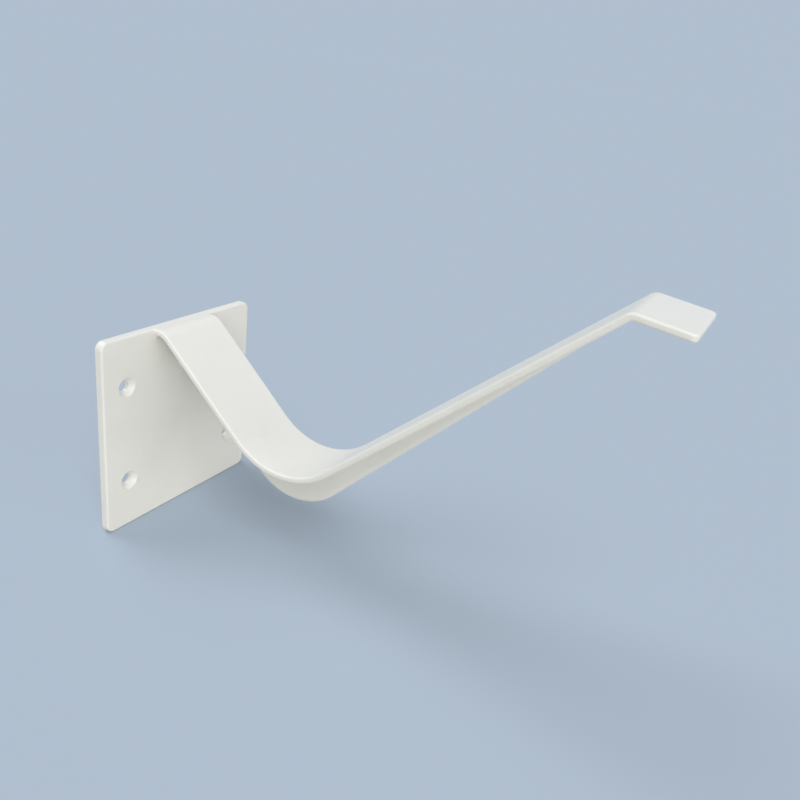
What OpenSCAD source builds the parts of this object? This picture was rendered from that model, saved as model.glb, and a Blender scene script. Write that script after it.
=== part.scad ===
// Gutter bracket, cast in one piece: a square wall plate with four countersunk
// screw holes, and a flat arm that leaves the top of the plate, drops, turns
// through a wide bend and rises to a short folded tab. A rib under the arm
// runs from the plate round the bend and tapers out at the tab.
//
// The origin is the centre of the plate's back face. +X points away from the
// wall, +Y along it and +Z up. The arm's angles and corners are those of its
// upper face, where the gutter lies.

/* [Wall plate] */
// Width of the plate, along the wall
plate_w = 100; // [80:1:140]
// Height of the plate
plate_h = 100; // [80:1:140]
// Thickness of the plate
plate_t = 4; // [3:0.5:6]
// Radius of the plate's four corners
plate_corner_r = 4; // [2:0.5:8]

/* [Screw holes] */
// Distance from the plate's sides to the holes' centres
hole_side = 14; // [9:0.5:18]
// Distance from the plate's top and bottom to the holes' centres
hole_end = 25; // [12:0.5:30]
// Diameter of each screw hole
hole_d = 5.5; // [4:0.1:6.5]
// Diameter of each countersink at the plate's front face
csk_d = 10; // [8:0.1:11]

/* [Arm] */
// Width of the arm, along the wall
arm_w = 38; // [26:1:44]
// Thickness of the arm
arm_t = 3; // [2.5:0.25:4.5]
// Distance from the wall to the corner where the arm turns down
shoulder_x = 10; // [9:0.5:16]
// Radius of that turn, on the upper face
shoulder_r = 10; // [8:0.5:12]
// Slope of the dropping stretch, below level
drop_angle = 41; // [30:0.5:46]
// Distance from the wall to the corner at the middle of the bend
bend_x = 81; // [74:1:100]
// Radius of the bend, on the upper face
bend_r = 36; // [24:1:42]
// Slope of the rising stretch, above level
rise_angle = 42.5; // [30:0.5:50]
// Distance from the wall to the fold at the tab
fold_x = 218; // [180:1:280]

/* [Tab] */
// Length of the tab, from the fold to its end
tab_l = 23; // [16:1:40]
// Slope of the tab, below level
tab_angle = 6; // [0:0.5:15]
// Inner radius of the fold, on the underside
fold_r = 2; // [1:0.5:5]
// Radius of the tab's two corners
tab_corner_r = 3; // [2:0.5:6]

/* [Rib] */
// Thickness of the rib
rib_t = 4; // [3:0.25:5]
// Depth of the rib below the dropping stretch
rib_depth = 14.5; // [10:0.5:17]
// Angle at which the rib closes on the rising stretch
rib_taper = 3.5; // [2.5:0.25:4.5]
// Radius of the rib's edge round the bend
rib_bend_r = 31; // [28:1:40]
// Radius where the rib's edge runs down into the plate
rib_foot_r = 4; // [3:0.5:6]

/* [Edges] */
// Radius of the outer edges of the plate and the arm
edge_r = 1; // [0.5:0.1:1.2]
// Radius of the fillets where the rib meets the arm and the plate
fillet_r = 2; // [1:0.25:2.5]
// Radius of the fillet under the arm where it meets the plate
root_fillet_r = 3; // [2:0.25:3.5]

/* [Hidden] */
$fn = 64;

// Height of the plate's top edge and of the arm's level start
top_z = plate_h / 2;
// Slope of the rib's edge under the rising stretch
rib_angle = rise_angle + rib_taper;
// Depth of the conical part of a countersunk hole, at 90 degrees
csk_depth = (csk_d - hole_d) / 2;
// How far a cut runs past the face that it opens
clear = 1;
// How far from the wall the arm and the rib start, inside the plate
start_x = plate_t / 4;
// The most that a round in the side view turns from one point to the next
arc_step = 5;
// Steps in each quarter round of an edge or a fillet
edge_steps = 4;
// How far an edge or a fillet reaches into what it stands on
lap = 0.5;
// How far a fillet's rounds run into the faces on both sides
fillet_sink = 0.1;
// The part of the arm's edge radius that is left at the very end of the tab
last_part = 0.2;

// In the side view, points are [x, z]. Unit vectors at an angle above level,
// and square to it on the side of the arm's upper face
function heading(a) = [cos(a), sin(a)];
function square_to(a) = [-sin(a), cos(a)];

// A path is a list of stations, each a point and the heading there. This one
// goes round a centre from one heading to another, with the centre on the
// right of the path for a positive radius and on its left for a negative one
function round_path(centre, r, from, to) =
    let (steps = ceil(abs(to - from) / arc_step))
    [for (i = [0:steps])
        let (a = from + (to - from) * i / steps)
        [centre + r * square_to(a), a]];

// The points a distance to the left of a path, or to its right if negative
function beside(path, distance) = [for (s = path) s[0] + distance * square_to(s[1])];

// Corners of the arm's upper face, before they are rounded
shoulder = [shoulder_x, top_z];
bend = [bend_x, top_z - (bend_x - shoulder_x) * tan(drop_angle)];
fold = [fold_x, bend[1] + (fold_x - bend_x) * tan(rise_angle)];

// Centres of those corners' rounding
fold_top_r = fold_r + arm_t;
shoulder_centre = shoulder - [shoulder_r * tan(drop_angle / 2), shoulder_r];
bend_centre = bend - bend_r * tan((drop_angle + rise_angle) / 2) * heading(-drop_angle)
    + bend_r * square_to(-drop_angle);
rise_end = fold - fold_top_r * tan((rise_angle + tab_angle) / 2) * heading(rise_angle);
fold_centre = rise_end - fold_top_r * square_to(rise_angle);

// The arm's upper face as a path, from inside the plate to the rise, and on
// round the fold to where the tab's corners start
path_to_rise = concat(
    [[[start_x, top_z], 0]],
    round_path(shoulder_centre, shoulder_r, 0, -drop_angle),
    round_path(bend_centre, -bend_r, -drop_angle, rise_angle)
);
path_to_tab = concat(
    path_to_rise,
    round_path(fold_centre, fold_top_r, rise_angle, -tab_angle)
);

// The rib's edge: a line under the drop, a line under the rise that ends at
// rib_tip, and the round between them
rib_tip = rise_end - arm_t * square_to(rise_angle);
drop_edge_depth = arm_t + rib_depth;
edge_corner_back = (rib_tip - bend + drop_edge_depth * square_to(-drop_angle))
    * square_to(-drop_angle) / (heading(rib_angle) * square_to(-drop_angle));
edge_corner = rib_tip - edge_corner_back * heading(rib_angle);
edge_centre = edge_corner - rib_bend_r * tan((drop_angle + rib_angle) / 2) * heading(-drop_angle)
    + rib_bend_r * square_to(-drop_angle);

// Centre of the hollow round where the rib's edge runs down into the plate
foot_x = plate_t + rib_foot_r;
foot_z = (edge_corner * square_to(-drop_angle) - rib_foot_r - foot_x * sin(drop_angle))
    / cos(drop_angle);
foot_centre = [foot_x, foot_z];

// The rib's edge as a path, up the plate, out along the drop, round and up
edge_path = concat(
    round_path(foot_centre, rib_foot_r, 90, -drop_angle),
    round_path(edge_centre, -rib_bend_r, -drop_angle, rib_angle),
    [[rib_tip, rib_angle]]
);

function reverse(list) = [for (i = [len(list) - 1:-1:0]) list[i]];

// A section's points [across, up], set square to a path at one of its stations
function at_station(station, section) = [
    for (p = section)
        let (q = station[0] + p[1] * square_to(station[1]))
        [q[0], p[0], q[1]]
];

// A solid through rings of points, each with as many points as the first. The
// rings go round anticlockwise, seen from the far end
module loft(rings) {
    n = len(rings[0]);
    last = len(rings) - 1;
    points = [for (ring = rings) for (p = ring) p];
    sides = [for (k = [0:last - 1], i = [0:n - 1])
        let (j = (i + 1) % n)
        [k * n + j, k * n + i, (k + 1) * n + i, (k + 1) * n + j]];
    first_end = [for (i = [0:n - 1]) i];
    last_end = [for (i = [n - 1:-1:0]) last * n + i];
    polyhedron(points, concat([first_end], sides, [last_end]));
}

// Lays an outline of the side view out across the wall
module across(width) {
    rotate([90, 0, 0])
        linear_extrude(height = width, center = true)
            children();
}

// The section through the plate's rim, with its front edge rounded
module rim_section() {
    square([plate_corner_r - edge_r, plate_t]);
    square([plate_corner_r, plate_t - edge_r]);
    translate([plate_corner_r - edge_r, plate_t - edge_r])
        circle(r = edge_r);
}

// The plate without its holes, rounded at its corners and its front edges
module plate_blank() {
    inner_w = plate_w - 2 * plate_corner_r;
    inner_h = plate_h - 2 * plate_corner_r;
    rotate([90, 0, 90]) {
        translate([-inner_w / 2, -inner_h / 2, 0])
            cube([inner_w, inner_h, plate_t]);
        for (s = [0, 180])
            rotate([0, 0, s]) {
                translate([inner_w / 2, inner_h / 2, 0])
                    rotate([90, 0, 0])
                        linear_extrude(height = inner_h)
                            rim_section();
                translate([-inner_w / 2, inner_h / 2, 0])
                    rotate([90, 0, 90])
                        linear_extrude(height = inner_w)
                            rim_section();
                translate([inner_w / 2, inner_h / 2, 0])
                    rotate_extrude(angle = 90)
                        rim_section();
                translate([-inner_w / 2, inner_h / 2, 0])
                    rotate([0, 0, 90])
                        rotate_extrude(angle = 90)
                            rim_section();
            }
    }
}

// A countersunk screw hole through the plate, along X
module screw_hole() {
    rotate([0, 90, 0]) {
        translate([0, 0, -clear])
            cylinder(d = hole_d, h = plate_t + 2 * clear);
        translate([0, 0, plate_t - csk_depth])
            cylinder(d1 = hole_d, d2 = csk_d + 2 * clear, h = csk_depth + clear);
    }
}

module wall_plate() {
    difference() {
        plate_blank();
        for (y = [-1, 1], z = [-1, 1])
            translate([0, y * (plate_w / 2 - hole_side), z * (plate_h / 2 - hole_end)])
                screw_hole();
    }
}

// The arm's cross-section, narrower by one size on each side and thinner by
// another on each face
function arm_section(narrower, thinner) =
    let (
        r = edge_r - (1 - last_part) * thinner,
        y = arm_w / 2 - narrower - r,
        top = -thinner - r,
        bottom = -arm_t + thinner + r
    )
    [for (c = [[y, top, 0], [-y, top, 90], [-y, bottom, 180], [y, bottom, 270]])
        for (i = [0:edge_steps])
            [c[0], c[1]] + r * heading(c[2] + 90 * i / edge_steps)];

// The tab's end, with its corners rounded in plan and its edge in thickness
function tab_end_ring(turn) =
    let (
        out = tab_corner_r * sin(turn),
        into_edge = max(0, out - tab_corner_r + edge_r),
        place = fold + (tab_l - tab_corner_r + out) * heading(-tab_angle)
    )
    at_station([place, -tab_angle], arm_section(
        tab_corner_r * (1 - cos(turn)),
        edge_r - sqrt(edge_r * edge_r - into_edge * into_edge)));

module arm() {
    loft(concat(
        [for (s = path_to_tab) at_station(s, arm_section(0, 0))],
        [for (turn = [0:15:90]) tab_end_ring(turn)]
    ));
}

// The fillet across the arm's underside where it meets the plate
module root_fillet() {
    across(arm_w - 2 * edge_r)
        translate([plate_t, top_z - arm_t - root_fillet_r])
            difference() {
                translate([-clear, 0])
                    square([root_fillet_r + clear, root_fillet_r + clear]);
                translate([root_fillet_r, 0])
                    circle(r = root_fillet_r);
            }
}

// The rib's flat sides, in from its rounded edge to the middle of the arm
module rib_web() {
    mid = arm_t / 2;
    nose_r = rib_t / 2;
    tip_back = (nose_r - mid * cos(rib_taper)) / sin(rib_taper);
    web_tip = rise_end - mid * square_to(rise_angle) - tip_back * heading(rise_angle);
    web_edge = [for (p = beside(edge_path, nose_r)) if (p[0] < web_tip[0]) p];
    across(rib_t)
        polygon(concat(
            [[start_x, foot_z], [start_x, top_z - mid]],
            beside(path_to_rise, -mid),
            [web_tip],
            reverse(web_edge)
        ));
}

// The rib's rounded edge
module rib_nose() {
    nose_r = rib_t / 2;
    nose = concat(
        [for (i = [0:2 * edge_steps])
            [0, nose_r] + nose_r * heading(180 + 90 * i / edge_steps)],
        [[nose_r, nose_r + lap], [-nose_r, nose_r + lap]]
    );
    loft([for (s = edge_path) at_station(s, nose)]);
}

// The section through the fillets of one radius on both sides of the rib,
// under a face that lies a depth below the path. Each round is a little larger
// than its radius, so that it runs into both faces
function fillet_pair(r, depth) =
    let (half = rib_t / 2 + r, round_r = r + fillet_sink)
    concat(
        [[half, lap - depth], [-half, lap - depth]],
        [for (i = [0:edge_steps])
            [-half, -depth - r] + round_r * heading(90 - 90 * i / edge_steps)],
        [for (i = [0:edge_steps])
            [half, -depth - r] + round_r * heading(180 - 90 * i / edge_steps)]
    );

// The fillets' end, half as large and sunk into the face
function sunk_pair(depth) =
    let (r = fillet_r / 2)
    fillet_pair(r, depth - r - fillet_sink);

// Under the arm. On the rise they run out before the rib's flat sides do
module arm_fillets() {
    clear_depth = rib_t / 2 + fillet_r + lap;
    full_end = rise_end - clear_depth / tan(rib_taper) * heading(rise_angle);
    sunk_end = rise_end - rib_t / 2 / tan(rib_taper) * heading(rise_angle);
    loft(concat(
        [for (s = path_to_rise) at_station(s, fillet_pair(fillet_r, arm_t))],
        [at_station([full_end, rise_angle], fillet_pair(fillet_r, arm_t)),
         at_station([sunk_end, rise_angle], sunk_pair(arm_t))]
    ));
}

// On the plate. At the foot they run out where the rib's edge meets the plate
module plate_fillets() {
    function on_plate(z) = [[plate_t, z], 90];
    loft([
        at_station(on_plate(foot_z + rib_foot_r / 2), sunk_pair(0)),
        at_station(on_plate(foot_z + rib_foot_r + lap), fillet_pair(fillet_r, 0)),
        at_station(on_plate(top_z - arm_t / 2), fillet_pair(fillet_r, 0))
    ]);
}

module rib() {
    rib_web();
    rib_nose();
    arm_fillets();
    plate_fillets();
}

module bracket() {
    color([0.93, 0.93, 0.91]) {
        wall_plate();
        arm();
        root_fillet();
        rib();
    }
}

bracket();
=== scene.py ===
"""Looks of a cast gutter bracket with a satin white powder coat.

The bracket itself is the frame's own solid. This script gives it its coat,
stands it on a pale floor, lights it softly and sets the camera.
"""

import math

import bpy
from mathutils import Matrix, Vector


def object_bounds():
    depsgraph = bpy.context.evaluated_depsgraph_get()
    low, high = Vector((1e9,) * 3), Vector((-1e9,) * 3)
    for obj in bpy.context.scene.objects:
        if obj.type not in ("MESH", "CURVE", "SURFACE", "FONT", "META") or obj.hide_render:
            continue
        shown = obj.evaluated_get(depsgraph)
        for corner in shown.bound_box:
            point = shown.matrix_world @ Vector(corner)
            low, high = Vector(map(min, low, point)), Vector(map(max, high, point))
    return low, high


MM = 0.001
WHITE = (1.0, 1.0, 1.0, 1.0)

# Where the camera stands, in metres from the middle of the plate's back, how it
# is turned: round the bracket, down and over to one side, in degrees, its lens
# and sensor in millimetres, and how near to it a thing is still seen
CAMERA_PLACE = Vector((0.2650, -0.2707, 0.1791))
CAMERA_AZIMUTH = 26.68
CAMERA_ELEVATION = 23.54
CAMERA_ROLL = 7.41
CAMERA_LENS = 34.63
SENSOR_WIDTH = 36.0
NEAREST_SEEN = 10 * MM

# The coat: its colour and its gloss
COAT_COLOUR = (0.81, 0.81, 0.77, 1.0)
COAT_ROUGHNESS = 0.35
COAT_IOR = 1.5

# The coat's peel and, under it, the slow waves of the casting: how wide they
# are, how deep, and how many finer layers of noise they hold
PEEL_SIZE = 2.0 * MM
PEEL_DEPTH = 0.12 * MM
PEEL_OCTAVES = 2.0
WAVE_SIZE = 16 * MM
WAVE_DEPTH = 0.35 * MM
WAVE_OCTAVES = 1.0

# The coat's mottle: how wide its patches are, how many finer layers of noise
# they hold and how strong each is beside the last, the values between which
# light turns to dark, the share of the colour that is left in the dark, and
# how far the roughness goes either way
MOTTLE_SIZE = 40 * MM
MOTTLE_OCTAVES = 4.0
MOTTLE_FINENESS = 0.6
MOTTLE_TURN = (0.3, 0.7)
MOTTLE_SHADE = 0.965
MOTTLE_GLOSS = 0.03

# The light: how strong it is all round, the way to each lamp, as long as the
# lamp is strong, and how wide a lamp looks, in degrees. On a face that looks
# up they come to about 1, at which a colour shows as it is written. To work
# out what a lamp adds to the floor, its disc is cut into level strips
SKY_LIGHT = 0.45
LAMPS = {
    "side": Vector((0.25, -0.24, 0.03)),
    "front": Vector((0.25, 0.0, 0.02)),
    "top": Vector((0.1, -0.17, 0.27)),
    "back": Vector((-0.18, 0.0, 0.25)),
}
LAMP_SPREAD = 40
LAMP_STRIPS = 100

# The floor: the pale blue that is seen, the neutral tone of about the same
# depth that it throws back, so that the white coat isn't tinted, and the
# length of its sides in metres
FLOOR_COLOUR = (0.42, 0.5, 0.6, 1.0)
FLOOR_BOUNCE = (0.54, 0.54, 0.51, 1.0)
FLOOR_SIZE = 60.0


def link(tree, start, end):
    tree.links.new(start, end)


def make_group(name, inputs, outputs):
    """Makes a node group with named sockets, and its two end nodes."""
    group = bpy.data.node_groups.new(name, "ShaderNodeTree")
    for direction, sockets in (("INPUT", inputs), ("OUTPUT", outputs)):
        for socket_name, kind in sockets.items():
            group.interface.new_socket(name=socket_name, in_out=direction, socket_type=kind)
    return group, group.nodes.new("NodeGroupInput"), group.nodes.new("NodeGroupOutput")


def add_noise(tree, size, octaves):
    """Adds noise that stays with the bracket, as wide as a size in metres."""
    place = tree.nodes.new("ShaderNodeTexCoord")
    per_metre = tree.nodes.new("ShaderNodeMath")
    per_metre.operation = "DIVIDE"
    per_metre.inputs[0].default_value = 1.0
    link(tree, size, per_metre.inputs[1])
    noise = tree.nodes.new("ShaderNodeTexNoise")
    noise.inputs["Detail"].default_value = octaves
    link(tree, place.outputs["Object"], noise.inputs["Vector"])
    link(tree, per_metre.outputs[0], noise.inputs["Scale"])
    return noise


def make_relief_group():
    """Builds the relief of a coated casting: fine peel over slow waves.

    Its Height is in metres and goes to a Bump node.
    """
    number = "NodeSocketFloat"
    group, given, result = make_group(
        "coated_relief",
        {"Peel Size": number, "Peel Depth": number, "Wave Size": number, "Wave Depth": number},
        {"Height": number},
    )
    both = group.nodes.new("ShaderNodeMath")
    both.operation = "ADD"
    for kind, octaves, socket in zip(("Peel", "Wave"), (PEEL_OCTAVES, WAVE_OCTAVES), both.inputs):
        noise = add_noise(group, given.outputs[kind + " Size"], octaves)
        height = group.nodes.new("ShaderNodeMath")
        height.operation = "MULTIPLY"
        link(group, noise.outputs[0], height.inputs[0])
        link(group, given.outputs[kind + " Depth"], height.inputs[1])
        link(group, height.outputs[0], socket)
    link(group, both.outputs[0], result.inputs["Height"])
    return group


def make_mottle_group():
    """Builds a soft, slow change between two colours, for a coat's depth."""
    group, given, result = make_group(
        "coat_mottle",
        {"Light": "NodeSocketColor", "Dark": "NodeSocketColor", "Size": "NodeSocketFloat"},
        {"Colour": "NodeSocketColor", "Mask": "NodeSocketFloat"},
    )
    noise = add_noise(group, given.outputs["Size"], MOTTLE_OCTAVES)
    noise.inputs["Roughness"].default_value = MOTTLE_FINENESS
    spread = group.nodes.new("ShaderNodeMapRange")
    spread.inputs["From Min"].default_value = MOTTLE_TURN[0]
    spread.inputs["From Max"].default_value = MOTTLE_TURN[1]
    link(group, noise.outputs[0], spread.inputs["Value"])
    mix = group.nodes.new("ShaderNodeMix")
    mix.data_type = "RGBA"
    link(group, spread.outputs["Result"], mix.inputs["Factor"])
    link(group, given.outputs["Light"], mix.inputs["A"])
    link(group, given.outputs["Dark"], mix.inputs["B"])
    link(group, mix.outputs["Result"], result.inputs["Colour"])
    link(group, spread.outputs["Result"], result.inputs["Mask"])
    return group


def place_group(tree, group, **values):
    """Puts a node group into a material with its own values."""
    node = tree.nodes.new("ShaderNodeGroup")
    node.node_tree = group
    for name, value in values.items():
        node.inputs[name.replace("_", " ")].default_value = value
    return node


def make_powder_coat(relief_group, mottle_group):
    """The satin white coat, with its peel and a faint mottle."""
    material = bpy.data.materials.new("powder_coat")
    material.use_nodes = True
    tree = material.node_tree
    shader = tree.nodes["Principled BSDF"]
    shader.inputs["IOR"].default_value = COAT_IOR
    shader.inputs["Metallic"].default_value = 0.0

    dark = tuple(MOTTLE_SHADE * part for part in COAT_COLOUR[:3]) + COAT_COLOUR[3:]
    mottle = place_group(tree, mottle_group, Light=COAT_COLOUR, Dark=dark, Size=MOTTLE_SIZE)
    link(tree, mottle.outputs["Colour"], shader.inputs["Base Color"])

    rough = tree.nodes.new("ShaderNodeMapRange")
    rough.inputs["To Min"].default_value = COAT_ROUGHNESS - MOTTLE_GLOSS
    rough.inputs["To Max"].default_value = COAT_ROUGHNESS + MOTTLE_GLOSS
    link(tree, mottle.outputs["Mask"], rough.inputs["Value"])
    link(tree, rough.outputs["Result"], shader.inputs["Roughness"])

    relief = place_group(
        tree,
        relief_group,
        Peel_Size=PEEL_SIZE,
        Peel_Depth=PEEL_DEPTH,
        Wave_Size=WAVE_SIZE,
        Wave_Depth=WAVE_DEPTH,
    )
    bump = tree.nodes.new("ShaderNodeBump")
    bump.inputs["Distance"].default_value = 1.0
    link(tree, relief.outputs["Height"], bump.inputs["Height"])
    link(tree, bump.outputs["Normal"], shader.inputs["Normal"])
    return material


def coat_bracket(node, material):
    node.data.materials.clear()
    node.data.materials.append(material)


def add_seen_mask(tree):
    """A mask that is 1 for what the camera, a gloss or a glass sees."""
    rays = tree.nodes.new("ShaderNodeLightPath")
    seen = rays.outputs["Is Camera Ray"]
    for name in ("Is Glossy Ray", "Is Transmission Ray"):
        either = tree.nodes.new("ShaderNodeMath")
        either.operation = "MAXIMUM"
        link(tree, seen, either.inputs[0])
        link(tree, rays.outputs[name], either.inputs[1])
        seen = either.outputs[0]
    return seen


def make_floor(low_z):
    """A wide pale floor that shows no edge and keeps the bracket's shadow."""
    bpy.ops.mesh.primitive_plane_add(size=FLOOR_SIZE, location=(0.0, 0.0, low_z))
    floor = bpy.context.object
    floor.name = "floor"
    material = bpy.data.materials.new("pale_floor")
    material.use_nodes = True
    tree = material.node_tree
    shader = tree.nodes["Principled BSDF"]
    shader.inputs["Roughness"].default_value = 1.0
    shader.inputs["Specular IOR Level"].default_value = 0.0
    colour = tree.nodes.new("ShaderNodeMix")
    colour.data_type = "RGBA"
    colour.inputs["A"].default_value = FLOOR_BOUNCE
    colour.inputs["B"].default_value = FLOOR_COLOUR
    link(tree, add_seen_mask(tree), colour.inputs["Factor"])
    link(tree, colour.outputs["Result"], shader.inputs["Base Color"])
    floor.data.materials.append(material)


def light_on_floor(way):
    """What a lamp adds to the open floor, which hides the foot of a low lamp."""
    reach = math.tan(math.radians(LAMP_SPREAD / 2)) * math.hypot(way.x, way.y)
    middles = [(2 * i + 1) / LAMP_STRIPS - 1 for i in range(LAMP_STRIPS)]
    widths = [math.sqrt(1 - middle**2) for middle in middles]
    slants = [max(0.0, way.z + reach * middle) for middle in middles]
    lit = sum(width * slant for width, slant in zip(widths, slants))
    return lit / sum(widths)


def make_world():
    """An even soft light all round, behind which the floor's own tone shows.

    What the camera, gloss and glass see of it has the floor's lit colour, so
    that the floor runs on without an edge.
    """
    world = bpy.data.worlds.new("studio")
    world.use_nodes = True
    tree = world.node_tree
    light = tree.nodes["Background"]
    light.inputs["Color"].default_value = WHITE
    light.inputs["Strength"].default_value = SKY_LIGHT
    backdrop = tree.nodes.new("ShaderNodeBackground")
    backdrop.inputs["Color"].default_value = FLOOR_COLOUR
    floor_light = SKY_LIGHT + sum(light_on_floor(way) for way in LAMPS.values())
    backdrop.inputs["Strength"].default_value = floor_light
    choice = tree.nodes.new("ShaderNodeMixShader")
    link(tree, add_seen_mask(tree), choice.inputs[0])
    link(tree, light.outputs[0], choice.inputs[1])
    link(tree, backdrop.outputs[0], choice.inputs[2])
    link(tree, choice.outputs[0], tree.nodes["World Output"].inputs["Surface"])
    bpy.context.scene.world = world


def make_lamp(name, way):
    """A wide soft lamp, far off along a way that is as long as it is strong."""
    lamp = bpy.data.lights.new(name, "SUN")
    lamp.energy = math.pi * way.length
    lamp.angle = math.radians(LAMP_SPREAD)
    lamp_object = bpy.data.objects.new(name, lamp)
    lamp_object.rotation_euler = way.to_track_quat("Z", "Y").to_euler()
    bpy.context.scene.collection.objects.link(lamp_object)


def set_camera():
    """Sets the camera, which looks straight down until it is tilted."""
    turn = Matrix.Rotation(math.radians(CAMERA_AZIMUTH), 4, "Z")
    tilt = Matrix.Rotation(math.radians(90 - CAMERA_ELEVATION), 4, "X")
    roll = Matrix.Rotation(math.radians(CAMERA_ROLL), 4, "Z")
    camera = bpy.data.cameras.new("camera")
    camera.lens = CAMERA_LENS
    camera.sensor_width = SENSOR_WIDTH
    camera.clip_start = NEAREST_SEEN
    camera_object = bpy.data.objects.new("camera", camera)
    camera_object.matrix_world = Matrix.Translation(CAMERA_PLACE) @ turn @ tilt @ roll
    bpy.context.scene.collection.objects.link(camera_object)
    bpy.context.scene.camera = camera_object


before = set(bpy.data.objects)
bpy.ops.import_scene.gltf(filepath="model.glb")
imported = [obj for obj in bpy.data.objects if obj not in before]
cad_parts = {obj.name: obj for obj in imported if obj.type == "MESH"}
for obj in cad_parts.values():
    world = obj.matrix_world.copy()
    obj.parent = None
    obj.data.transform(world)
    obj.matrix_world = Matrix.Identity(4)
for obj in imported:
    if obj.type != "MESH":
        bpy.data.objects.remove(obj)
cad_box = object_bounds()

powder_coat = make_powder_coat(make_relief_group(), make_mottle_group())
coat_bracket(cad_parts["bracket"], powder_coat)

make_floor(cad_box[0][2])
make_world()
for lamp_name, lamp_way in LAMPS.items():
    make_lamp(lamp_name, lamp_way)
set_camera()
bpy.context.scene.view_settings.view_transform = "Standard"
